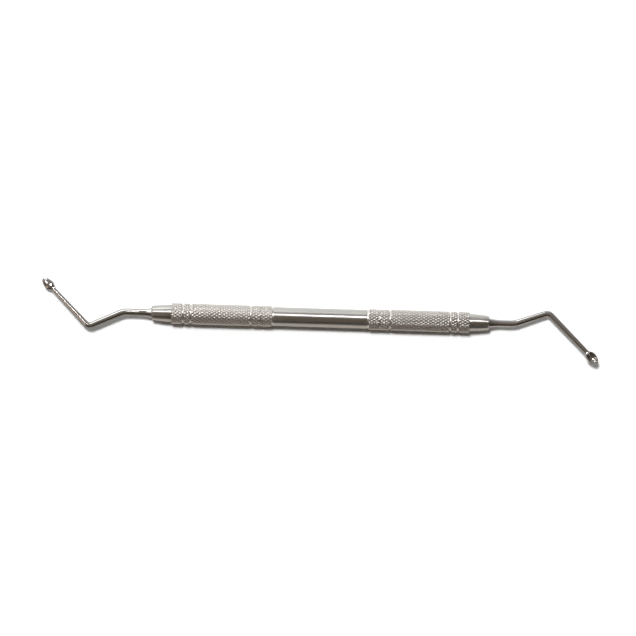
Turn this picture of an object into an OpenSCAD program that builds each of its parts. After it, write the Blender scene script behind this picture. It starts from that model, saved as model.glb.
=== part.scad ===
// Double-ended spoon curette: hollow round handle with two knurled grips,
// a plain centre barrel, a tapered nose at each end and two twice-bent
// working ends that each carry a hollowed spoon.
//
// Frame: millimetres. The origin is on the handle's axis, half way along it.
// +X runs along the handle to the right-hand end, +Z is up. The instrument is
// drawn as it lies on a table at z = -grip_d / 2: rolled a little about its
// handle, so that the left-hand spoon stands lower and the right-hand one
// higher.

/* [Handle] */
// Diameter over the crests of the knurling
grip_d = 6.5; // [6.2:0.1:8]
// Diameter of the plain centre barrel
barrel_d = 5.9; // [5.6:0.05:6.1]
// Diameter at the floor of the turned ring grooves
groove_d = 5.7; // [5.4:0.05:5.8]
// Inside diameter of the hollow barrel and grips
hollow_d = 4.6; // [4:0.1:4.8]
// Half the length of the centre barrel, to its end shoulder
barrel_half = 14.35; // [12:0.05:18]
// Width of the ring groove between barrel and grip
joint_groove_w = 0.7; // [0.4:0.05:1]
// Width of the other ring grooves, apart from the faint one
groove_w = 0.6; // [0.3:0.05:0.8]
// Edge break on the knurled lands
land_chamfer = 0.12; // [0.05:0.01:0.2]

/* [Grip lands] */
// Start of the faint groove nearest the barrel
groove_1_x = 18.3; // [17:0.1:18.6]
// Start of the second groove
groove_2_x = 21.3; // [20:0.1:22]
// Start of the third groove, where the long knurled land ends
groove_3_x = 39.9; // [36:0.1:40.1]
// Start of the outermost groove
groove_4_x = 42.3; // [41.5:0.1:43.5]
// Outer end of the grip
grip_end_x = 46.2; // [45:0.1:48]

/* [Nose] */
// Diameter of the nose beside the grip
nose_d = 5.4; // [5:0.05:5.8]
// Diameter of the nose just before its rounded end
nose_tip_d = 4.5; // [4.2:0.05:4.9]
// Outer end face of the nose
nose_end_x = 52.35; // [51:0.05:55]
// Rounding at the end of the nose
nose_round = 0.5; // [0.2:0.05:0.7]
// Length of the spigot that sits inside the grip
spigot_l = 10; // [7:0.5:12]

/* [Working ends] */
// Diameter of the tang held in the nose
tang_d = 2.6; // [2:0.1:3]
// Length of the tang
tang_l = 14; // [11:0.5:16]
// Diameter of the shoulder against the nose
shoulder_d = 3; // [2.7:0.05:3.4]
// Shank diameter at the first bend
shank_1_d = 2.12; // [1.9:0.02:2.4]
// Shank diameter at the second bend
shank_2_d = 1.88; // [1.6:0.02:2]
// Shank diameter at the neck of the spoon
neck_d = 1.46; // [1.2:0.02:1.7]
// Centreline radius of the first bend
bend_1_r = 6; // [4:0.5:8]
// Centreline radius of the second bend
bend_2_r = 1.9; // [1.6:0.1:3]

/* [Right working end] */
// Distance of the first bend's corner from the origin
right_bend_x = 60.2; // [59:0.1:64]
// Angle of the rise after the first bend
right_rise_a = 19.4; // [15:0.1:28]
// Length of the rise, corner to corner
right_rise_l = 11.15; // [9:0.05:14]
// Angle of the drop after the second bend
right_drop_a = 44.6; // [38:0.1:50]
// Length of the drop, to the tip of the spoon
right_drop_l = 21.75; // [18:0.05:26]

/* [Left working end] */
// Distance of the first bend's corner from the origin
left_bend_x = 61.1; // [59:0.1:64]
// Angle of the rise after the first bend
left_rise_a = 24.3; // [15:0.1:28]
// Length of the rise, corner to corner
left_rise_l = 11.75; // [9:0.05:14]
// Angle of the drop after the second bend
left_drop_a = 45; // [38:0.1:50]
// Length of the drop, to the tip of the spoon
left_drop_l = 20.6; // [18:0.05:26]

/* [Spoon] */
// Length of the spoon, from neck to tip
spoon_l = 4.9; // [4:0.1:6]
// Width of the spoon
spoon_w = 3; // [2.4:0.1:3.6]
// Distance from the neck to the widest place
spoon_wide = 2; // [1.6:0.1:2.4]
// Depth of the spoon's back below the shank's axis
spoon_back = 0.88; // [0.8:0.02:1.1]
// Wall left under the hollow
spoon_wall = 0.25; // [0.2:0.05:0.4]
// Height of the rim plane above the spoon's axis
rim_h = 0.3; // [0.1:0.05:0.4]
// Width of the rim around the hollow
rim_w = 0.3; // [0.2:0.05:0.4]
// Length of the hollow
hollow_l = 3.5; // [2.8:0.1:4]
// Distance from the end of the hollow to the tip
tip_rim = 0.55; // [0.3:0.05:0.8]
// Turn of the bowl about the shank
bowl_turn = 0; // [-20:1:20]

/* [Rest] */
// Roll about the handle axis when the instrument lies on a table
rest_roll = -7.5; // [-17:0.1:0]

/* [Inside] */
// Length of each stud that joins the barrel to a grip
stud_l = 12; // [8:0.5:16]
// Diameter of the cross pins through the tangs
pin_d = 1; // [0.8:0.1:1.2]
// Radial gap filled by braze or adhesive
braze_gap = 0.02; // [0.01:0.01:0.05]

/* [Hidden] */
$fn = 96;
grip_r = grip_d / 2;
groove_r = groove_d / 2;
hollow_r = hollow_d / 2;
plug_r = hollow_r - braze_gap;
tang_r = tang_d / 2;
neck_r = neck_d / 2;
pin_x = grip_end_x - spigot_l / 2;

faint_groove_w = 0.4;
faint_groove_depth = 0.2;
barrel_chamfer = 0.15;
stud_chamfer = 0.3;
plug_chamfer = 0.2;     // inner ends of the spigot and the tang
nose_power = 1.7;       // higher keeps the nose full for longer
flare_l = 4;            // shoulder down to shank
pin_clearance = 0.01;   // radial
pin_end_gaps = 0.3;     // both ends of the pin together
cross_hole_l = 8;

bend_inset = 0.01;      // how much thinner a bend is than its straights
bend_overlap_a = 1.5;   // how far a bend runs into each straight, degrees
tip_power = 1.7;        // roundness of the spoon's outline towards the tip
face_blend_r = 1.6;     // curve from the neck down to the rim plane
cut_w = 5;              // width of the cutting blocks, wider than the spoon
back_axis_lift = 0.95;  // raises the axis of the back, for a flatter curve

steel = [0.76, 0.75, 0.73];
satin = [0.66, 0.65, 0.63];

// ---- shared shapes ----------------------------------------------------------

// a body of revolution about X, from [radius, x] points
module turned(points) rotate([0, 90, 0]) rotate_extrude() polygon(points);

// the left-hand pieces are the right-hand ones carried through the origin
module through_origin() mirror([0, 0, 1]) rotate([0, 0, 180]) children();

module at_rest() rotate([rest_roll, 0, 0]) children();

// [radius, x] outline of a raised land with broken edges
function land(radius, from_x, to_x, chamfer) = [
    [radius - chamfer, from_x],
    [radius, from_x + chamfer],
    [radius, to_x - chamfer],
    [radius - chamfer, to_x]];

// hole for the cross pin, square to the handle
module cross_hole() translate([pin_x, -cross_hole_l / 2, 0]) rotate([-90, 0, 0])
    cylinder(h = cross_hole_l, r = pin_d / 2 + pin_clearance);

// ---- handle, right-hand pieces ----------------------------------------------

module barrel_body() turned(concat(
    [[hollow_r, -barrel_half]],
    land(barrel_d / 2, -barrel_half, barrel_half, barrel_chamfer),
    [[hollow_r, barrel_half]]));

// ring grooves with a land after each
module grip_body() {
    // start, width, floor radius
    grooves = [
        [barrel_half, joint_groove_w, groove_r],
        [groove_1_x, faint_groove_w, grip_r - faint_groove_depth],
        [groove_2_x, groove_w, groove_r],
        [groove_3_x, groove_w, groove_r],
        [groove_4_x, groove_w, groove_r]];
    last = len(grooves) - 1;
    turned(concat(
        [[hollow_r, barrel_half]],
        [for (i = [0 : last])
            let(start = grooves[i][0],
                end = start + grooves[i][1],
                floor_r = grooves[i][2],
                land_end = i < last ? grooves[i + 1][0] : grip_end_x)
            each concat([[floor_r, start], [floor_r, end]],
                        land(grip_r, end, land_end, land_chamfer))],
        [[hollow_r, grip_end_x]]));
}

// spigot, curved taper and rounded end, bored for the tang
module nose_body() {
    base_r = nose_d / 2;
    tip_r = nose_tip_d / 2;
    spigot_x = grip_end_x - spigot_l;
    round_x = nose_end_x - nose_round;
    bore_r = tang_r + braze_gap;
    difference() {
        turned(concat(
            [[bore_r, spigot_x],
             [plug_r - plug_chamfer, spigot_x],
             [plug_r, spigot_x + plug_chamfer],
             [plug_r, grip_end_x]],
            [for (i = [0 : 8]) let(t = i / 8)
                [base_r - (base_r - tip_r) * pow(t, nose_power),
                 grip_end_x + (round_x - grip_end_x) * t]],
            [for (i = [1 : 6]) let(angle = i * 15)
                [tip_r - nose_round * (1 - cos(angle)), round_x + nose_round * sin(angle)]],
            [[bore_r, nose_end_x]]));
        cross_hole();
    }
}

module stud_body() {
    start = barrel_half - stud_l / 2;
    end = barrel_half + stud_l / 2;
    turned(concat([[0, start]], land(plug_r, start, end, stud_chamfer), [[0, end]]));
}

module pin_body() translate([pin_x, 0, 0]) rotate([90, 0, 0])
    cylinder(h = 2 * plug_r - pin_end_gaps, r = pin_d / 2, center = true);

// ---- spoon, lying along its own X with its hollow facing +Z -----------------

// radius at a distance from the neck, swelling from the shank to widest_r
function swell(along, widest_r) =
    along < spoon_wide
        ? neck_r + (widest_r - neck_r) * pow(sin(90 * along / spoon_wide), 2)
        : widest_r * sqrt(max(0,
              1 - pow((along - spoon_wide) / (spoon_l - spoon_wide), tip_power)));

// distance from the neck of station i of count, closer together at both ends
function station(i, count) = spoon_l * (1 - cos(i * 180 / count)) / 2;

// shank from the second bend to the tip, with the solid outside of the spoon
module drop_and_spoon(from_x, tip_x) {
    neck_x = tip_x - spoon_l;
    turned(concat(
        [[0, from_x], [shank_2_d / 2, from_x], [neck_r, neck_x]],
        [for (i = [1 : 23]) let(along = station(i, 24))
            [swell(along, spoon_w / 2), neck_x + along]],
        [[0, tip_x]]));
}

// everything taken off the spoon: face, hollow and back
module spoon_cut(tip_x) {
    neck_x = tip_x - spoon_l;
    rotate([bowl_turn, 0, 0]) {
        face_cut(neck_x + face_blend_r);
        hollow_cut(tip_x - tip_rim - hollow_l / 2);
        back_cut(neck_x, tip_x);
    }
}

// flat face at the rim plane, with a rounded run-in at from_x
module face_cut(from_x) {
    translate([from_x, -cut_w / 2, rim_h]) cube([spoon_l, cut_w, 3]);
    translate([from_x, -cut_w / 2, rim_h + face_blend_r]) rotate([-90, 0, 0])
        cylinder(h = cut_w, r = face_blend_r);
}

// ellipsoid that meets the rim plane at the hollow's width and length
module hollow_cut(centre_x) {
    half_w = spoon_w / 2 - rim_w;
    depth = rim_h + spoon_back - spoon_wall;
    centre_h = (half_w * half_w - depth * depth) / (2 * depth);
    cross_r = centre_h + depth;
    long_r = hollow_l / 2 / sqrt(1 - pow(centre_h / cross_r, 2));
    translate([centre_x, 0, rim_h + centre_h])
        turned([for (i = [0 : 24]) let(angle = i * 7.5 - 90)
            [i == 0 || i == 24 ? 0 : cross_r * cos(angle), long_r * sin(angle)]]);
}

// takes the spoon's round back off to its shallower depth
module back_cut(neck_x, tip_x) {
    difference() {
        translate([neck_x + 0.15, -cut_w / 2, -3]) cube([spoon_l + 0.2, cut_w, 2.9]);
        translate([0, 0, back_axis_lift]) turned(concat(
            [[0, neck_x - 0.5], [back_axis_lift + neck_r, neck_x - 0.5]],
            [for (i = [0 : 16]) let(along = station(i, 16))
                [back_axis_lift + swell(along, spoon_back), neck_x + along]],
            [[back_axis_lift, tip_x + 0.6], [0, tip_x + 0.6]]));
    }
}

// ---- working end: bends lie in XY, the rise goes to +Y, the drop to -Y ------

// tang, shoulder, flare and straight shank as far as end_x
module tang_and_flare(end_x) {
    shank_r = shank_1_d / 2;
    tang_x = nose_end_x - tang_l;
    turned(concat(
        [[0, tang_x],
         [tang_r - plug_chamfer, tang_x],
         [tang_r, tang_x + plug_chamfer],
         [tang_r, nose_end_x]],
        [for (i = [0 : 8]) let(t = i / 8)
            [shank_r + (shoulder_d / 2 - shank_r) * pow(1 - t, 2), nose_end_x + flare_l * t]],
        [[shank_r, end_x], [0, end_x]]));
}

// a bend in the shank, a hair thinner than its straights and let into them
module bend(radius, shank_r, from_a, turn_a) {
    rotate([0, 0, from_a - bend_overlap_a])
        rotate_extrude(angle = turn_a + 2 * bend_overlap_a)
            translate([radius, 0]) circle(r = shank_r - bend_inset, $fn = 48);
}

module working_end_body(bend_x, rise_a, rise_l, drop_a, drop_l) {
    turn_a = rise_a + drop_a;
    // from each corner to where its bend starts
    tangent_1 = bend_1_r * tan(rise_a / 2);
    tangent_2 = bend_2_r * tan(turn_a / 2);
    bend_1_r_shank = shank_1_d / 2;
    bend_2_r_shank = shank_2_d / 2;
    bend_1_start = bend_x - tangent_1;
    corner_2 = [bend_x + rise_l * cos(rise_a), rise_l * sin(rise_a), 0];
    difference() {
        union() {
            tang_and_flare(bend_1_start);
            // first bend
            translate([bend_1_start, bend_1_r, 0]) bend(bend_1_r, bend_1_r_shank, -90, rise_a);
            // rise
            translate([bend_x, 0, 0]) rotate([0, 0, rise_a])
                translate([tangent_1, 0, 0]) rotate([0, 90, 0])
                    cylinder(h = rise_l - tangent_1 - tangent_2,
                             r1 = bend_1_r_shank, r2 = bend_2_r_shank);
            // second bend
            translate(corner_2) rotate([0, 0, rise_a]) translate([-tangent_2, -bend_2_r, 0])
                bend(bend_2_r, bend_2_r_shank, 90 - turn_a, turn_a);
            translate(corner_2) rotate([0, 0, -drop_a]) drop_and_spoon(tangent_2, drop_l);
        }
        translate(corner_2) rotate([0, 0, -drop_a]) spoon_cut(drop_l);
        cross_hole();
    }
}

// ---- the pieces -------------------------------------------------------------

module centre_barrel() color(steel) at_rest() barrel_body();
module right_grip() color(satin) at_rest() grip_body();
module left_grip() color(satin) at_rest() through_origin() grip_body();
module right_nose() color(steel) at_rest() nose_body();
module left_nose() color(steel) at_rest() through_origin() nose_body();
module right_working_end() color(steel) at_rest()
    working_end_body(right_bend_x, right_rise_a, right_rise_l, right_drop_a, right_drop_l);
module left_working_end() color(steel) at_rest() through_origin()
    working_end_body(left_bend_x, left_rise_a, left_rise_l, left_drop_a, left_drop_l);
module right_joining_stud() color("dimgray") at_rest() stud_body();
module left_joining_stud() color("dimgray") at_rest() through_origin() stud_body();
module right_tang_pin() color("slategray") at_rest() pin_body();
module left_tang_pin() color("slategray") at_rest() through_origin() pin_body();

centre_barrel();
left_grip();
right_grip();
left_nose();
right_nose();
left_working_end();
right_working_end();
left_joining_stud();
right_joining_stud();
left_tang_pin();
right_tang_pin();
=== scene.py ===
"""A double-ended steel hand instrument with a small spoon at each end.

The handle lies along X with its middle at the origin, on a table below it in Z. From the
middle outward come a plain barrel, knurled grips, tapered noses and twice-bent shanks that
end in spoons. The left half (-X) is the right half's kind carried through the origin. The
camera looks straight down, with the handle leaning slightly in the frame.

Meshes are written in millimetres and scaled to metres. Shader, light and card sizes are in
metres.
"""

import math

import bpy
import numpy as np
from mathutils import Quaternion, Matrix, Vector


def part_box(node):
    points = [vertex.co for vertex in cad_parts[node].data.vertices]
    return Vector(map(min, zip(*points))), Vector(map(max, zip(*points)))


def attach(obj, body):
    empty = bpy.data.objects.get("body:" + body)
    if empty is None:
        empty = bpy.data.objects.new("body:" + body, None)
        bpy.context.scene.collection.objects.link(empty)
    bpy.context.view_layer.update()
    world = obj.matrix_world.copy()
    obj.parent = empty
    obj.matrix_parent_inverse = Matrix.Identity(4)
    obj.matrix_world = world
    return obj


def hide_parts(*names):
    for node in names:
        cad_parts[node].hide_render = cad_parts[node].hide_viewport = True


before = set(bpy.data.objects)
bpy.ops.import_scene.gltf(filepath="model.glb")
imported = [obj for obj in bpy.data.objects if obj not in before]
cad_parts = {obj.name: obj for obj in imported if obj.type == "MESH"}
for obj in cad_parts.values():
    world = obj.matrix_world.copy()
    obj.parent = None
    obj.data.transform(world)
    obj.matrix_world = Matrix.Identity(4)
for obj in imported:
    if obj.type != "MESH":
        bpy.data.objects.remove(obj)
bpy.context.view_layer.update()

MM = 0.001
scene = bpy.context.scene


def reach(node, axis):
    """How far a CAD piece reaches along +axis, in mm."""
    return round(getattr(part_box(node)[1], axis) / MM, 3)


# ---------------------------------------------------------------------------
# shared sizes, mm
# ---------------------------------------------------------------------------
CREST_R = reach("right_grip", "z")         # over the knurling
FLOOR_R = 2.85                             # bottom of the grips' turned grooves
BORE_R = 2.3
BARREL_R = reach("centre_barrel", "z")
BARREL_END = reach("centre_barrel", "x")
GRIP_END = reach("right_grip", "x")
NOSE_END = reach("right_nose", "x")
TABLE_Z = -CREST_R
ROLL = math.radians(-7.5)                  # the instrument's turn about its handle


# ---------------------------------------------------------------------------
# mesh helpers
# ---------------------------------------------------------------------------
def make_object(name, verts_mm, quads, tris=(), sharp_angle=None):
    """A smooth-shaded mesh object; edges steeper than sharp_angle (degrees) stay sharp."""
    mesh = bpy.data.meshes.new(name)
    verts = np.asarray(verts_mm, float) * MM
    quads = np.asarray(quads, int).reshape(-1, 4)
    tris = np.asarray(tris, int).reshape(-1, 3)
    loops = np.concatenate([quads.ravel(), tris.ravel()])
    starts = np.concatenate([
        np.arange(len(quads)) * 4,
        len(quads) * 4 + np.arange(len(tris)) * 3,
    ])
    mesh.vertices.add(len(verts))
    mesh.vertices.foreach_set("co", verts.astype(np.float32).ravel())
    mesh.loops.add(len(loops))
    mesh.loops.foreach_set("vertex_index", loops.astype(np.int32))
    mesh.polygons.add(len(starts))
    mesh.polygons.foreach_set("loop_start", starts.astype(np.int32))
    mesh.update(calc_edges=True)
    mesh.validate()
    mesh.polygons.foreach_set("use_smooth", np.ones(len(mesh.polygons), bool))
    if sharp_angle is not None:
        mesh.set_sharp_from_angle(angle=math.radians(sharp_angle))
    mesh.update()
    obj = bpy.data.objects.new(name, mesh)
    scene.collection.objects.link(obj)
    return obj


def outward(verts, quads, tris):
    """Flips the faces if the closed surface's volume comes out negative."""
    verts = np.asarray(verts, float)
    quads = np.asarray(quads, int).reshape(-1, 4)
    tris = np.asarray(tris, int).reshape(-1, 3)
    every = np.vstack([quads[:, [0, 1, 2]], quads[:, [0, 2, 3]], tris])
    first, second, third = (verts[every[:, k]] for k in range(3))
    if np.einsum("ij,ij->i", first, np.cross(second, third)).sum() < 0:
        quads, tris = quads[:, ::-1], tris[:, ::-1]
    return verts, quads, tris


def placed(verts, quads, tris, left):
    """Carries a left-hand piece through the origin, then rolls it as the handle lies."""
    if left:
        verts, quads, tris = -verts, quads[:, ::-1], tris[:, ::-1]
    c, s = math.cos(ROLL), math.sin(ROLL)
    x, y, z = verts.T
    return np.stack([x, y * c - z * s, y * s + z * c], 1), quads, tris


def angles_around(count):
    return np.arange(count) * 2 * math.pi / count


def ring_quads(rings, count):
    """Quads [ring, place] joining rings of count points, the last ring back to the first."""
    i = np.arange(rings)[:, None]
    j = np.arange(count)[None, :]
    i1, j1 = (i + 1) % rings, (j + 1) % count
    return np.stack([i * count + j, i1 * count + j, i1 * count + j1, i * count + j1], -1)


def lathe(outline, count):
    """A ring-shaped solid about X from a closed outline of (x, r) points, r above 0."""
    points = np.asarray(outline, float)
    angle = angles_around(count)
    x = np.repeat(points[:, 0], count)
    y = (points[:, 1][:, None] * np.cos(angle)[None, :]).ravel()
    z = (points[:, 1][:, None] * np.sin(angle)[None, :]).ravel()
    return np.stack([x, y, z], 1), ring_quads(len(points), count), ()


def round_corners(outline, steps):
    """Turns each corner of a closed (x, r, corner radius) outline into an arc."""
    points = []
    for i, (x, r, radius) in enumerate(outline):
        corner = np.array([x, r])
        back = np.array(outline[i - 1][:2]) - corner
        ahead = np.array(outline[(i + 1) % len(outline)][:2]) - corner
        back_length, ahead_length = np.linalg.norm(back), np.linalg.norm(ahead)
        back, ahead = back / back_length, ahead / ahead_length
        turn = math.acos(max(-1, min(1, float(back @ ahead))))
        # the arc may take up at most just under half of either side
        trim = min(radius / math.tan(turn / 2), back_length * 0.49, ahead_length * 0.49)
        radius = trim * math.tan(turn / 2)
        middle = (back + ahead) / np.linalg.norm(back + ahead)
        centre = corner + middle * radius / math.sin(turn / 2)
        start, end = corner + back * trim - centre, corner + ahead * trim - centre
        start_angle = math.atan2(start[1], start[0])
        sweep = math.atan2(end[1], end[0]) - start_angle
        sweep = (sweep + math.pi) % (2 * math.pi) - math.pi
        for k in range(steps + 1):
            angle = start_angle + sweep * k / steps
            points.append((centre[0] + radius * math.cos(angle),
                           centre[1] + radius * math.sin(angle)))
    return points


# ---------------------------------------------------------------------------
# the plain centre barrel
# ---------------------------------------------------------------------------
LATHE_COUNT = 288      # points around the barrel and the noses


def barrel_mesh():
    bore_round, rim_round, longest = 0.1, 0.13, 1.2
    corners = round_corners([(-BARREL_END, BORE_R, bore_round), (-BARREL_END, BARREL_R, rim_round),
                             (BARREL_END, BARREL_R, rim_round), (BARREL_END, BORE_R, bore_round)],
                            steps=6)
    outline = []
    for (x0, r0), (x1, r1) in zip(corners, corners[1:] + corners[:1]):
        steps = max(1, int(abs(x1 - x0) / longest))
        outline += [(x0 + (x1 - x0) * k / steps, r0 + (r1 - r0) * k / steps)
                    for k in range(steps)]
    return lathe(outline, LATHE_COUNT)


# ---------------------------------------------------------------------------
# the knurled grips
# ---------------------------------------------------------------------------
KNURL_COUNT = 20       # diamonds around the grip
KNURL_PITCH = 1.525    # one diamond along the grip
KNURL_DEPTH = 0.19
KNURL_RISE = 0.9       # share of the half pitch over which a diamond rises to its flat
SAMPLES = 12           # mesh steps across one diamond
BAND_CHAMFER = 0.12
BAND_LIP = 0.02        # small step that softens the chamfer's outer corners

# knurled bands: start x, end x, radius of the groove floor before the band
BANDS = [
    (BARREL_END + 0.7, 18.3, FLOOR_R),
    (18.7, 21.3, CREST_R - 0.2),
    (21.9, 39.9, FLOOR_R),
    (40.5, 42.3, FLOOR_R),
    (42.9, GRIP_END, FLOOR_R),
]


def knurl_height(x, angle):
    """0 at the floor of the crossing V grooves, 1 on the diamonds' flats."""
    along = x / KNURL_PITCH
    around = angle * KNURL_COUNT / (2 * math.pi)
    one_way, other_way = around + along, around - along
    nearest = np.minimum(np.abs(one_way - np.round(one_way)),
                         np.abs(other_way - np.round(other_way)))
    rise = np.clip(nearest / 0.5 / KNURL_RISE, 0, 1)
    return 1 - (1 - rise) ** 1.5


def wear(x, angle):
    """Uneven crests, as rolled knurling has: a slow drift and a diamond-by-diamond part."""
    along = np.round(x / KNURL_PITCH * 2)
    around = np.round(angle * KNURL_COUNT / math.pi)
    # the usual sine hash: a repeatable value from 0 to 1 for each diamond
    scatter = np.sin(along * 12.9898 + around * 78.233) * 43758.5453
    scatter = scatter - np.floor(scatter)
    drift = 0.5 + 0.5 * np.sin(x * 0.55 + 1.3) * np.cos(angle * 2 + x * 0.21)
    return 0.016 * scatter + 0.014 * drift


def grip_stations():
    """Rows of x, radius, and 1 where the knurl is cut."""
    step = KNURL_PITCH / SAMPLES
    shoulder = CREST_R - BAND_CHAMFER
    half, eased = BAND_CHAMFER * 0.5, CREST_R - BAND_CHAMFER * 0.42

    def fillet_for(floor):
        return min(0.08, (CREST_R - BAND_CHAMFER - floor) * 0.5)

    rows = [(BARREL_END, BORE_R, 0), (BARREL_END, FLOOR_R - 0.05, 0),
            (BARREL_END + 0.03, FLOOR_R, 0)]
    for i, (start, end, floor) in enumerate(BANDS):
        fillet = fillet_for(floor)
        rows += [(start - fillet, floor, 0), (start - fillet * 0.3, floor + fillet * 0.3, 0),
                 (start, floor + fillet, 0),
                 (start, shoulder - BAND_LIP, 1), (start + BAND_LIP, shoulder + BAND_LIP, 1),
                 (start + half, eased, 1), (start + BAND_CHAMFER, CREST_R, 1)]
        first = math.ceil((start + BAND_CHAMFER + BAND_LIP) / step)
        last = math.floor((end - BAND_CHAMFER - BAND_LIP) / step)
        rows += [(k * step, CREST_R, 1) for k in range(first, last + 1)]
        rows += [(end - BAND_CHAMFER, CREST_R, 1), (end - half, eased, 1),
                 (end - BAND_LIP, shoulder + BAND_LIP, 1), (end, shoulder - BAND_LIP, 1)]
        if i + 1 < len(BANDS):
            floor = BANDS[i + 1][2]
            fillet = fillet_for(floor)
            rows += [(end, floor + fillet, 0), (end + fillet * 0.3, floor + fillet * 0.3, 0),
                     (end + fillet, floor, 0)]
    rows += [(GRIP_END, BORE_R, 0)]
    return np.array(rows, float)


def grip_mesh(phase):
    """One grip; phase turns the knurl pattern about the handle, in radians."""
    stations = grip_stations()
    station_x, station_r, knurled = stations[:, 0], stations[:, 1], stations[:, 2] > 0
    count = KNURL_COUNT * SAMPLES
    x, angle = np.meshgrid(station_x, angles_around(count), indexing="ij")
    radius = np.repeat(station_r[:, None], count, 1)
    height = knurl_height(x, angle + phase)
    cut = CREST_R - wear(x, angle + phase) - KNURL_DEPTH * (1 - height)
    radius = np.where(knurled[:, None], np.minimum(radius, cut), radius)
    verts = np.stack([x, radius * np.cos(angle), radius * np.sin(angle)], -1).reshape(-1, 3)

    # the knurled quads are split along the diagonal that follows the groove or the crest
    quads = ring_quads(len(stations), count)
    sides = quads[:-1]
    split = knurled[:-1] & knurled[1:] & (np.diff(station_x) > 1e-6)
    mid_x = ((station_x[:-1] + station_x[1:]) / 2)[:, None]
    mid_angle = (np.arange(count) + 0.5) * 2 * math.pi / count
    mid_height = knurl_height(mid_x, mid_angle[None, :] + phase)
    beside = np.roll(height, -1, axis=1)
    main_error = np.abs((height[:-1] + beside[1:]) / 2 - mid_height)
    other_error = np.abs((height[1:] + beside[:-1]) / 2 - mid_height)
    main = main_error <= other_error
    by_main = sides[split[:, None] & main]
    by_other = sides[split[:, None] & ~main]
    tris = np.concatenate([by_main[:, [0, 1, 2]], by_main[:, [0, 2, 3]],
                           by_other[:, [0, 1, 3]], by_other[:, [1, 2, 3]]])
    whole = np.concatenate([sides[~split].reshape(-1, 4), quads[-1]])
    return verts, whole, tris


# ---------------------------------------------------------------------------
# the tapered noses
# ---------------------------------------------------------------------------
def nose_mesh():
    base_r, tip_r, tip_round = 2.7, 2.25, 0.5
    hole_r = 1.32
    plug_r = BORE_R - 0.02     # the plug sits inside the grip's bore
    plug_x = GRIP_END - 10
    round_x = NOSE_END - tip_round
    outline = []
    for k in range(25):
        t = k / 24
        outline.append((GRIP_END + (round_x - GRIP_END) * t,
                        base_r - (base_r - tip_r) * t ** 1.7))
    for k in range(1, 13):
        angle = math.radians(7.5 * k)
        outline.append((round_x + tip_round * math.sin(angle),
                        tip_r - tip_round * (1 - math.cos(angle))))
    # the end face and the eased mouth of the hole, then back along the plug
    outline += [(NOSE_END, 1.6), (NOSE_END, 1.42), (NOSE_END - 0.03, 1.36),
                (NOSE_END - 0.09, hole_r),
                (plug_x, hole_r), (plug_x, plug_r - 0.2), (plug_x + 0.2, plug_r),
                (GRIP_END - 0.06, plug_r), (GRIP_END, plug_r + 0.04), (GRIP_END, base_r - 0.03)]
    return lathe(outline, LATHE_COUNT)


# ---------------------------------------------------------------------------
# the working ends: tang, shoulder, twice-bent shank and spoon, one surface
# ---------------------------------------------------------------------------
# radii of the shank before and after the first bend, and of the neck by the spoon
SHANK_1, SHANK_2, NECK = 1.06, 0.94, 0.73
BEND_1, BEND_2 = 6.0, 1.9      # bend radii of the shank's centre line
FLARE, FLARE_LENGTH = 0.44, 4  # the shank's widening towards the nose
TANG_X = NOSE_END - 14
BEFORE_SPOON = -1.0            # any negative s marks a plain round section

# tang and shoulder: x, radius
TANG = [
    (TANG_X, 1.1), (TANG_X + 0.2, 1.3), (TANG_X + 2, 1.3), (TANG_X + 8, 1.3),
    (NOSE_END - 0.02, 1.3), (NOSE_END, 1.32), (NOSE_END + 0.005, 1.42),
    (NOSE_END + 0.03, 1.475), (NOSE_END + 0.08, 1.49),
]

# the spoon; s is the distance along it from the neck
SPOON_L, SPOON_R, SPOON_D = 4.9, 1.5, 0.88     # length, half width, depth below the axis
SPOON_WIDE = 2.0                               # s of the widest place
RIM_H, RIM_W = 0.3, 0.3                        # rim's height above the axis, and width
RIM_BLEND = 1.6                                # length over which the neck drops to the rim
SPOON_STEP = 0.036

# the hollow: an ellipsoid whose centre stands HOLLOW_LIFT above the rim
HOLLOW_HALF_L, HOLLOW_LIFT, WALL = 1.75, 0.25, 0.25
HOLLOW_Z_R = RIM_H + SPOON_D - WALL + HOLLOW_LIFT
RIM_SHARE = math.sqrt(1 - (HOLLOW_LIFT / HOLLOW_Z_R) ** 2)
HOLLOW_V_R = (SPOON_R - RIM_W) / RIM_SHARE
HOLLOW_S_R = HOLLOW_HALF_L / RIM_SHARE
HOLLOW_S = SPOON_L - 0.55 - HOLLOW_HALF_L
HOLLOW_Z = RIM_H + HOLLOW_LIFT

LOW_COUNT, BEVEL_COUNT, TOP_COUNT = 72, 4, 84  # points in the parts of a section


def smooth_min(a, b, width):
    overlap = np.maximum(width - np.abs(a - b), 0) / width
    return np.minimum(a, b) - overlap * overlap * width / 4


def swell(s, widest):
    """The spoon's outline from the neck, s = 0, through its widest place, to the tip."""
    if s < SPOON_WIDE:
        return NECK + (widest - NECK) * math.sin(math.pi / 2 * s / SPOON_WIDE) ** 2
    to_tip = (s - SPOON_WIDE) / (SPOON_L - SPOON_WIDE)
    return widest * math.sqrt(max(0.0, 1 - to_tip ** 1.7))


def spoon_steps():
    """Even steps in s, then steps that crowd towards the tip."""
    steps = []
    s = -0.36
    while s < SPOON_L * 0.86:
        steps.append(s)
        s += SPOON_STEP
    last = steps[-1]
    return steps + [last + (SPOON_L - last) * math.sin(math.pi / 2 * (k / 49))
                    for k in range(1, 49)]


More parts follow.
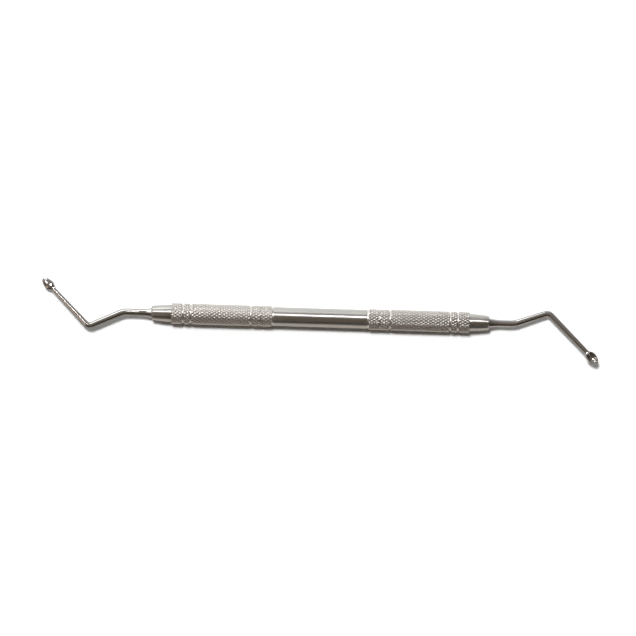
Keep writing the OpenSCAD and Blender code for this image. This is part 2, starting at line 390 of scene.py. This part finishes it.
def working_end_path(bend_x, rise_degrees, rise_length, drop_degrees, drop_length):
    """Stations of x, y, heading, radius and s, and the (x, y) of the spoon's tip."""
    rise, drop = math.radians(rise_degrees), math.radians(drop_degrees)
    turn = rise + drop
    tangent_1 = BEND_1 * math.tan(rise / 2)
    tangent_2 = BEND_2 * math.tan(turn / 2)
    path = []

    def add(x, y, heading, radius, s=BEFORE_SPOON):
        path.append((x, y, heading, radius, s))

    for x, radius in TANG:
        add(x, 0, 0, radius)
    for k in range(1, 25):
        t = k / 24
        add(NOSE_END + FLARE_LENGTH * t, 0, 0, SHANK_1 + FLARE * (1 - t) ** 2)
    bend_start = bend_x - tangent_1
    for k in range(1, 7):
        t = k / 6
        add(NOSE_END + FLARE_LENGTH + (bend_start - NOSE_END - FLARE_LENGTH) * t, 0, 0, SHANK_1)

    # first bend, towards +Y
    count = max(8, int(math.degrees(rise) / 1.2))
    for k in range(1, count + 1):
        angle = rise * k / count
        add(bend_start + BEND_1 * math.sin(angle), BEND_1 * (1 - math.cos(angle)), angle, SHANK_1)

    # rising length
    rise_x, rise_y = math.cos(rise), math.sin(rise)
    run = rise_length - tangent_1 - tangent_2
    for k in range(1, 25):
        t = k / 24
        distance = tangent_1 + run * t
        add(bend_x + distance * rise_x, distance * rise_y, rise,
            SHANK_1 + (SHANK_2 - SHANK_1) * t)

    # second bend, back towards -Y
    to_bend = rise_length - tangent_2
    centre_x = bend_x + to_bend * rise_x + BEND_2 * math.sin(rise)
    centre_y = to_bend * rise_y - BEND_2 * math.cos(rise)
    count = max(24, int(math.degrees(turn) / 1.6))
    for k in range(1, count + 1):
        angle = rise - turn * k / count
        add(centre_x - BEND_2 * math.sin(angle), centre_y + BEND_2 * math.cos(angle), angle,
            SHANK_2)

    # dropping length, neck and spoon
    corner_x, corner_y = bend_x + rise_length * rise_x, rise_length * rise_y
    drop_x, drop_y = math.cos(-drop), math.sin(-drop)

    def on_drop(distance):
        return corner_x + distance * drop_x, corner_y + distance * drop_y

    neck = drop_length - SPOON_L
    for k in range(1, 41):
        t = k / 40
        add(*on_drop(tangent_2 + (neck - 0.4 - tangent_2) * t), -drop,
            SHANK_2 + (NECK - SHANK_2) * t)
    for s in spoon_steps():
        add(*on_drop(neck + s), -drop, NECK if s <= 0 else swell(s, SPOON_R), s)
    return path, on_drop(drop_length)


def top_heights(v, s, radius, rim):
    """The upper side of a section: round, cut level at the rim, with the hollow taken out."""
    circle = np.sqrt(np.maximum(radius * radius - v * v, 0))
    if s < 0:
        return circle
    out = np.sqrt(((s - HOLLOW_S) / HOLLOW_S_R) ** 2 + (v / HOLLOW_V_R) ** 2)
    bowl = HOLLOW_Z - HOLLOW_Z_R * np.sqrt(np.maximum(1 - out * out, 0))
    # outside the ellipsoid the surface climbs steeply, clear of the rim
    hollow = np.where(out < 1, bowl, HOLLOW_Z + (out - 1) * 3)
    return smooth_min(np.minimum(circle, rim), hollow, 0.05)


def bevel(start, corner, end):
    """The inner points of a quadratic curve from start to end, pulled to the corner."""
    u = (np.arange(BEVEL_COUNT) + 1) / (BEVEL_COUNT + 1)
    weights = (1 - u) ** 2, 2 * u * (1 - u), u ** 2
    return [weights[0] * start[k] + weights[1] * corner[k] + weights[2] * end[k]
            for k in range(2)]


def section(radius, s):
    """A closed section as v (across the heading) and z."""
    radius = max(radius, 1e-4)
    if s < 0:
        rim = 9.0      # above everything, so nothing is cut
    elif s < RIM_BLEND:
        rim = RIM_H + RIM_BLEND - math.sqrt(max(0.0, RIM_BLEND ** 2 - (RIM_BLEND - s) ** 2))
    else:
        rim = RIM_H

    # the angle above level at which the lower arc meets the top
    past_widest = s > SPOON_WIDE
    shoulder = math.radians(40)
    if rim < radius:
        edge = math.asin(rim / radius)
        if not past_widest:
            edge = min(shoulder, edge)
    else:
        edge = math.radians(89.0) if past_widest else shoulder

    bevel_width = min(0.045, 0.2 * radius)
    bevel_angle = bevel_width / radius
    # from the +v edge, through the lowest place, to the -v edge
    low = np.linspace(edge - bevel_angle, -math.pi - edge + bevel_angle, LOW_COUNT)
    depth = radius if s <= 0 else max(swell(s, SPOON_D), 1e-4)
    low_v = radius * np.cos(low)
    low_z = np.where(np.sin(low) < 0, depth, radius) * np.sin(low)
    edge_v = radius * math.cos(edge)
    edge_z = min(radius * math.sin(edge), rim)
    top_end = max(edge_v - bevel_width, edge_v * 0.2)
    top_v = np.linspace(-top_end, top_end, TOP_COUNT)
    top_z = top_heights(top_v, s, radius, rim)
    minus = bevel((low_v[-1], low_z[-1]), (-edge_v, edge_z), (top_v[0], top_z[0]))
    plus = bevel((top_v[-1], top_z[-1]), (edge_v, edge_z), (low_v[0], low_z[0]))
    return (np.concatenate([low_v, minus[0], top_v, plus[0]]),
            np.concatenate([low_z, minus[1], top_z, plus[1]]))


def working_end_mesh(**bends):
    path, tip = working_end_path(**bends)
    rings = []
    for x, y, heading, radius, s in path:
        v, z = section(radius, s)
        rings.append(np.stack([x - v * math.sin(heading), y + v * math.cos(heading), z], 1))
    rings = np.array(rings)
    ring_count, count = rings.shape[:2]
    verts = np.vstack([rings.reshape(-1, 3), rings[0].mean(0)[None], [(*tip, 0.0)]])
    quads = ring_quads(ring_count, count)[:-1]
    # fans close both ends on the two added points
    start_point = ring_count * count
    last_ring = (ring_count - 1) * count
    j = np.arange(count)
    j1 = (j + 1) % count
    start_fan = np.stack([np.full(count, start_point), j, j1], 1)
    end_fan = np.stack([np.full(count, start_point + 1), last_ring + j1, last_ring + j], 1)
    return verts, quads, np.vstack([start_fan, end_fan])


# ---------------------------------------------------------------------------
# shader nodes
# ---------------------------------------------------------------------------
class Nodes:
    """Short calls for building the node tree of a material or a world."""

    def __init__(self, owner):
        owner.use_nodes = True
        self.tree = owner.node_tree
        self.tree.nodes.clear()

    def feed(self, socket, value):
        """Links a socket to another, or sets its value."""
        if isinstance(value, bpy.types.NodeSocket):
            self.tree.links.new(value, socket)
        else:
            socket.default_value = value

    def add(self, kind, inputs=None, **settings):
        node = self.tree.nodes.new("ShaderNode" + kind)
        for name, value in settings.items():
            setattr(node, name, value)
        for key, value in (inputs or {}).items():
            self.feed(node.inputs[key], value)
        return node

    def math(self, operation, *values, clamp=False):
        inputs = dict(enumerate(values))
        return self.add("Math", inputs, operation=operation, use_clamp=clamp).outputs[0]

    def vector(self, operation, *values):
        node = self.add("VectorMath", dict(enumerate(values)), operation=operation)
        scalar = operation in ("DOT_PRODUCT", "LENGTH")
        return node.outputs["Value" if scalar else "Vector"]

    def noise(self, detail, rough, scale=1.0, **source):
        inputs = {"Scale": scale, "Detail": detail, "Roughness": rough}
        if "w" in source:
            inputs["W"] = source["w"]
            return self.add("TexNoise", inputs, noise_dimensions="1D").outputs[0]
        inputs["Vector"] = source["vector"]
        return self.add("TexNoise", inputs, noise_dimensions="3D").outputs[0]

    def map_range(self, value, source, target=(0.0, 1.0), kind="LINEAR"):
        return self.add("MapRange", {
            "Value": value, "From Min": source[0], "From Max": source[1],
            "To Min": target[0], "To Max": target[1]}, interpolation_type=kind).outputs[0]

    def ramp(self, factor, stops):
        """stops: (position, colour) pairs."""
        node = self.add("ValToRGB", {0: factor})
        elements = node.color_ramp.elements
        while len(elements) > 1:
            elements.remove(elements[-1])
        elements[0].position = stops[0][0]
        elements[0].color = (*stops[0][1], 1)
        for position, colour in stops[1:]:
            elements.new(position).color = (*colour, 1)
        return node.outputs[0]

    def mix_colour(self, factor, a, b):
        node = self.add("Mix", {"Factor": factor}, data_type="RGBA")
        colours = {socket.name: socket for socket in node.inputs if socket.type == "RGBA"}
        self.feed(colours["A"], a)
        self.feed(colours["B"], b)
        return [socket for socket in node.outputs if socket.type == "RGBA"][0]


# ---------------------------------------------------------------------------
# steels
# ---------------------------------------------------------------------------
def steel(name, base, dark, rough, lines=0.0, line_scale=0.0, scratches=0.0, pits=0.0,
          anisotropy=0.0, grooves=None):
    """Bare stainless steel with drifting tone and smudged roughness.

    rough is the roughness range. lines (turned round the handle), scratches and pits are
    relief heights in micrometres; line_scale is the lines' noise scale along X, per metre.
    grooves holds the radii over which the colour is darkened in the knurl's valleys:
    painted shade, with some dirt, against the brighter crests.
    """
    mat = bpy.data.materials.new(name)
    nodes = Nodes(mat)
    place = nodes.add("TexCoord").outputs["Object"]
    smudge = nodes.noise(vector=place, scale=420.0, detail=4.0, rough=0.62)
    blot = nodes.noise(vector=place, scale=95.0, detail=2.0, rough=0.5)
    fine = nodes.noise(vector=place, scale=5200.0, detail=2.0, rough=0.5)

    tone = nodes.math("ADD", nodes.math("MULTIPLY", blot, 0.6),
                      nodes.math("MULTIPLY", smudge, 0.4))
    colour = nodes.ramp(tone, [(0.30, dark), (0.62, base)])
    # painted shade, with some dirt: darker colour in the knurl's valleys, chosen by radius from
    # the axis
    if grooves:
        across = nodes.vector("MULTIPLY", place, (0.0, 1.0, 1.0))
        depth = nodes.map_range(nodes.vector("LENGTH", across), source=grooves)
        valley_shade = nodes.ramp(depth, [(0.0, (0.95, 0.95, 0.95)), (0.30, (0.60, 0.59, 0.58)),
                                  (0.55, (0.74, 0.73, 0.72)), (0.90, (1.0, 1.0, 1.0))])
        colour = nodes.vector("MULTIPLY", colour, valley_shade)

    handled = nodes.math("ADD", nodes.math("MULTIPLY", smudge, 0.75),
                         nodes.math("MULTIPLY", fine, 0.25))
    roughness = nodes.map_range(handled, source=(0.32, 0.68), target=rough)

    height = None

    def raised(relief):
        return relief if height is None else nodes.math("ADD", height, relief)

    if lines:
        x = nodes.add("SeparateXYZ", {0: place}).outputs[0]
        turned = nodes.noise(w=nodes.math("MULTIPLY", x, line_scale), detail=3.0, rough=0.7)
        height = raised(nodes.math("MULTIPLY", turned, lines))
    if scratches:
        # noise stretched along one slanting direction
        stretched = nodes.add("Mapping", {"Vector": place, "Rotation": (0.5, 0.9, 0.35),
                                          "Scale": (14000.0, 700.0, 9000.0)}).outputs[0]
        scratch = nodes.noise(vector=stretched, detail=2.0, rough=0.6)
        height = raised(nodes.math("MULTIPLY", scratch, scratches))
    if pits:
        height = raised(nodes.math("MULTIPLY", fine, pits))
    bump = nodes.add("Bump", {"Strength": 1.0, "Distance": 1e-6, "Height": height})

    surface = {"Base Color": colour, "Metallic": 1.0, "Roughness": roughness,
               "Normal": bump.outputs[0]}
    if anisotropy:
        surface["Anisotropic"] = anisotropy
        surface["Tangent"] = nodes.add("CombineXYZ", {0: 1.0}).outputs[0]
    shader = nodes.add("BsdfPrincipled", surface)
    nodes.add("OutputMaterial", {"Surface": shader.outputs[0]})
    return mat


STEEL = {"base": (0.62, 0.60, 0.575), "dark": (0.55, 0.53, 0.505)}
barrel_steel = steel("polished_steel", **STEEL, rough=(0.33, 0.42), lines=1.2,
                     line_scale=11000, scratches=0.35, anisotropy=0.9)
# the grips' knurl valleys get painted shade, with some dirt, through grooves
grip_steel = steel("satin_knurled_steel", base=(0.84, 0.80, 0.77), dark=(0.75, 0.71, 0.68),
                   rough=(0.27, 0.38), scratches=0.4, pits=0.8, grooves=(2.98e-3, 3.25e-3))
nose_steel = steel("turned_satin_steel", **STEEL, rough=(0.28, 0.38), lines=2.0,
                   line_scale=9000, scratches=0.4, anisotropy=0.85)
tip_steel = steel("tip_steel", base=(0.63, 0.61, 0.59), dark=(0.56, 0.54, 0.52),
                  rough=(0.031, 0.036), scratches=0.03, pits=0.01)
inner_steel = steel("machined_steel", base=(0.50, 0.485, 0.47), dark=(0.42, 0.41, 0.40),
                    rough=(0.28, 0.42), lines=2.5, line_scale=6000, pits=0.6)


# ---------------------------------------------------------------------------
# the pieces
# ---------------------------------------------------------------------------
def piece(name, data, material, node, left=False, sharp_angle=50):
    """Makes one piece from (verts, quads, tris) in place of a CAD node."""
    verts, quads, tris = placed(*outward(*data), left)
    obj = make_object(name, verts, quads, tris, sharp_angle)
    obj.data.materials.append(material)
    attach(obj, "root")
    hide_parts(node)


piece("centre_barrel_polished", barrel_mesh(), barrel_steel, "centre_barrel")
for side, phase in (("right", 0.0), ("left", 0.17)):
    piece(f"{side}_grip_knurled", grip_mesh(phase), grip_steel, f"{side}_grip",
          left=side == "left")
for side in ("right", "left"):
    piece(f"{side}_nose_turned", nose_mesh(), nose_steel, f"{side}_nose",
          left=side == "left")

# where the shank bends, and the angle and length of its rising and dropping parts
WORKING_ENDS = {
    "right": dict(bend_x=60.2, rise_degrees=19.4, rise_length=11.15,
                  drop_degrees=44.6, drop_length=21.75),
    "left": dict(bend_x=61.1, rise_degrees=24.3, rise_length=11.75,
                 drop_degrees=45.0, drop_length=20.6),
}
for side, bends in WORKING_ENDS.items():
    piece(f"{side}_spoon_end", working_end_mesh(**bends), tip_steel, f"{side}_working_end",
          left=side == "left", sharp_angle=60)

# the hidden joining parts keep their CAD meshes
for name in ("left_joining_stud", "right_joining_stud", "left_tang_pin", "right_tang_pin"):
    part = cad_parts[name]
    part.data.materials.clear()
    part.data.materials.append(inner_steel)
    for polygon in part.data.polygons:
        polygon.use_smooth = True
    part.data.set_sharp_from_angle(angle=math.radians(35))

# ---------------------------------------------------------------------------
# the frame's directions on the table
# ---------------------------------------------------------------------------
LEAN = math.radians(1.75)      # the handle's lean in the frame
RIGHT = Vector((math.cos(LEAN), math.sin(LEAN), 0))
UP = Vector((-math.sin(LEAN), math.cos(LEAN), 0))      # towards the back of the table


def at(right, up, height):
    return RIGHT * right + UP * up + Vector((0, 0, height))


# ---------------------------------------------------------------------------
# the floor
# ---------------------------------------------------------------------------
FLOOR_HALF = 4000      # mm


def floor_material():
    """A pale table, clear from below, with painted shade in how the metal reflects it."""
    mat = bpy.data.materials.new("pale_floor")
    nodes = Nodes(mat)
    geometry = nodes.add("NewGeometry").outputs
    position = geometry["Position"]

    # painted shade: as the metal reflects it, the table is darker and warmer in front, away from
    # the light
    back = nodes.map_range(nodes.vector("DOT_PRODUCT", position, UP),
                           source=(-0.003, 0.003), kind="SMOOTHSTEP")
    seen = nodes.ramp(back, [(0.0, (0.50, 0.465, 0.435)), (1.0, (0.80, 0.80, 0.79))])

    # more painted shade in reflections beyond the handle's ends; on the right, in front of a line
    # 10 mm behind the axis, it starts further out
    side = nodes.vector("DOT_PRODUCT", position, RIGHT)
    up = nodes.vector("DOT_PRODUCT", position, UP)
    below = nodes.math("MAXIMUM", nodes.math("SUBTRACT", 0.010, up), 0.0)
    below = nodes.math("MULTIPLY", below, nodes.math("GREATER_THAN", side, 0.0))
    outward_reach = nodes.math("SUBTRACT", nodes.math("ABSOLUTE", side), below)
    beyond = nodes.map_range(outward_reach, source=(0.051, 0.058), kind="SMOOTHSTEP")
    shade = nodes.ramp(beyond, [(0.0, (1.0, 1.0, 1.0)), (1.0, (0.58, 0.575, 0.57))])
    seen = nodes.vector("MULTIPLY", seen, shade)

    glossy = nodes.add("LightPath").outputs["Is Glossy Ray"]
    colour = nodes.mix_colour(glossy, (0.92, 0.92, 0.92, 1), seen)
    diffuse = nodes.add("BsdfDiffuse", {"Color": colour}).outputs[0]
    clear = nodes.add("BsdfTransparent").outputs[0]
    surface = nodes.add("MixShader", {0: geometry["Backfacing"], 1: diffuse, 2: clear})
    nodes.add("OutputMaterial", {"Surface": surface.outputs[0]})
    return mat


floor_corners = [(x * FLOOR_HALF, y * FLOOR_HALF, TABLE_Z)
                 for x, y in ((-1, -1), (1, -1), (1, 1), (-1, 1))]
floor = make_object("floor", floor_corners, [(0, 1, 2, 3)])
floor.data.materials.append(floor_material())


# ---------------------------------------------------------------------------
# the room
# ---------------------------------------------------------------------------
# share of the half circle from the front horizon (0) over the top (0.5) to the back (1)
ROOM_TONES = [
    (0.0, (0.33, 0.305, 0.28)), (0.03, (0.19, 0.17, 0.155)), (0.078, (0.075, 0.065, 0.057)),
    (0.14, (0.045, 0.038, 0.033)), (0.239, (0.070, 0.060, 0.050)), (0.311, (0.10, 0.080, 0.064)),
    (0.378, (0.135, 0.11, 0.083)), (0.444, (0.17, 0.14, 0.108)), (0.50, (0.21, 0.18, 0.155)),
    (0.556, (0.26, 0.24, 0.22)), (0.65, (0.30, 0.285, 0.285)), (0.80, (0.33, 0.32, 0.32)),
    (0.93, (0.45, 0.46, 0.46)), (1.0, (0.80, 0.82, 0.82)),
]
# the room's dimming from the left (0) to the right (1)
SIDE_DIMMING = [(0.0, (1.0, 1.0, 1.0)), (0.55, (1.0, 1.0, 1.0)), (0.70, (0.62, 0.61, 0.60)),
                (0.85, (0.42, 0.41, 0.40))]
# the table's own fill, from the front (0), dim and warm, to the back (1), neutral
FILL_TONES = [(0.0, (0.02, 0.012, 0.006)), (0.35, (0.075, 0.057, 0.042)),
              (0.5, (0.17, 0.16, 0.15)), (0.7, (0.45, 0.46, 0.47)), (1.0, (0.60, 0.61, 0.625))]


def build_world():
    """Metal reflects the room, the table gets the fill, and the camera sees white."""
    world = bpy.data.worlds.new("studio")
    scene.world = world
    nodes = Nodes(world)
    direction = nodes.add("TexCoord").outputs["Generated"]

    def along(axis):
        return nodes.vector("DOT_PRODUCT", direction, axis)

    def half_range(value):
        """-1 to 1 brought to 0 to 1."""
        return nodes.math("MULTIPLY_ADD", value, 0.5, 0.5, clamp=True)

    angle = nodes.math("ARCTAN2", along(UP), along((0, 0, 1)))
    share = nodes.math("ADD", nodes.math("DIVIDE", angle, math.pi), 0.5, clamp=True)
    room = nodes.ramp(share, ROOM_TONES)
    room = nodes.vector("MULTIPLY", room, nodes.ramp(half_range(along(RIGHT)), SIDE_DIMMING))
    rays = nodes.add("LightPath").outputs
    fill = nodes.ramp(half_range(along(UP)), FILL_TONES)
    tone = nodes.mix_colour(rays["Is Diffuse Ray"], room, fill)
    tone = nodes.mix_colour(rays["Is Camera Ray"], tone, (1.0, 1.0, 1.0, 1))
    background = nodes.add("Background", {"Color": tone})
    nodes.add("OutputWorld", {"Surface": background.outputs[0]})


build_world()


# ---------------------------------------------------------------------------
# lights
# ---------------------------------------------------------------------------
def card(name, centre, target, width, height, radiance, color, roll=0.0):
    """A soft panel that the metal reflects. It lights no floor and isn't seen itself."""
    data = bpy.data.lights.new(name, "AREA")
    data.shape = "RECTANGLE"
    data.size, data.size_y = width, height
    data.energy = radiance * 4 * width * height
    data.color = color
    obj = bpy.data.objects.new(name, data)
    scene.collection.objects.link(obj)
    obj.location = centre
    obj.rotation_mode = "QUATERNION"
    facing = (Vector(target) - obj.location).to_track_quat("-Z", "Y")
    obj.rotation_quaternion = facing
    spin = Quaternion((0, 0, 1), math.radians(roll))
    obj.rotation_quaternion = obj.rotation_quaternion @ spin
    obj.visible_camera = False
    obj.visible_diffuse = False
    obj.visible_shadow = False
    return obj


KEY_COLOR = (1.0, 0.98, 0.985)
card("key", centre=at(0.034, 0.163, 0.35), target=at(0.034, 0, 0),
     width=0.026, height=0.058, radiance=66.0, color=KEY_COLOR)
card("key_low", centre=at(-0.046, 0.141, 0.35), target=at(-0.046, 0, 0),
     width=0.024, height=0.052, radiance=11.0, color=KEY_COLOR, roll=60)
card("key_left", centre=at(-0.225, 0.195, 0.35), target=(0, 0, 0),
     width=0.09, height=0.105, radiance=5.0, color=KEY_COLOR)
card("right_front", centre=at(0.40, -0.33, 0.20), target=(0.08, -0.01, 0),
     width=0.16, height=0.16, radiance=0.8, color=(1.0, 0.98, 0.97))
card("warm_wall", centre=at(-0.42, -0.22, 0.26), target=(-0.08, 0, 0),
     width=0.22, height=0.42, radiance=0.42, color=(1.0, 0.86, 0.74))
back_panel = card("back_panel", centre=at(-0.28, 0.65, 0.215), target=at(-0.28, 0, 0.1),
                  width=0.46, height=0.37, radiance=1.6, color=(0.97, 1.0, 0.98))
back_panel.visible_diffuse = True      # the one card that also lights the table

SUN_TILT = math.radians(18.5)          # from straight up towards the back
SUN_SIDE = -0.12                       # lean along RIGHT
sun_data = bpy.data.lights.new("sun", "SUN")
sun_data.angle = math.radians(12)
sun_data.energy = 3.2
sun_data.color = (0.985, 0.995, 1.0)
sun = bpy.data.objects.new("sun", sun_data)
scene.collection.objects.link(sun)
away = -(UP * math.sin(SUN_TILT) + RIGHT * SUN_SIDE + Vector((0, 0, math.cos(SUN_TILT))))
sun.rotation_mode = "QUATERNION"
sun.rotation_quaternion = away.to_track_quat("-Z", "Y")
sun.visible_glossy = False

# ---------------------------------------------------------------------------
# camera and output
# ---------------------------------------------------------------------------
FRAME_WIDTH = 197.16                       # mm across the frame at the handle's height
FOCUS_RIGHT, FOCUS_UP = -0.7595, -0.031    # mm from the handle's centre to the frame's
LENS, SENSOR = 300.0, 36.0
CAMERA_HEIGHT = FRAME_WIDTH / 2 / (SENSOR / 2 / LENS)

camera_data = bpy.data.cameras.new("camera")
camera_data.lens, camera_data.sensor_width = LENS, SENSOR
camera = bpy.data.objects.new("camera", camera_data)
scene.collection.objects.link(camera)
scene.camera = camera
focus = (RIGHT * FOCUS_RIGHT + UP * FOCUS_UP) * MM
camera.location = focus + Vector((0, 0, CAMERA_HEIGHT * MM))
camera.rotation_mode = "QUATERNION"
axes = Matrix((RIGHT, UP, Vector((0, 0, 1)))).transposed()
camera.rotation_quaternion = axes.to_quaternion()
camera_data.clip_start, camera_data.clip_end = 0.01, 50

scene.view_settings.view_transform = "Standard"
scene.view_settings.look = "None"
scene.view_settings.exposure = 0.0
scene.view_settings.gamma = 1.0
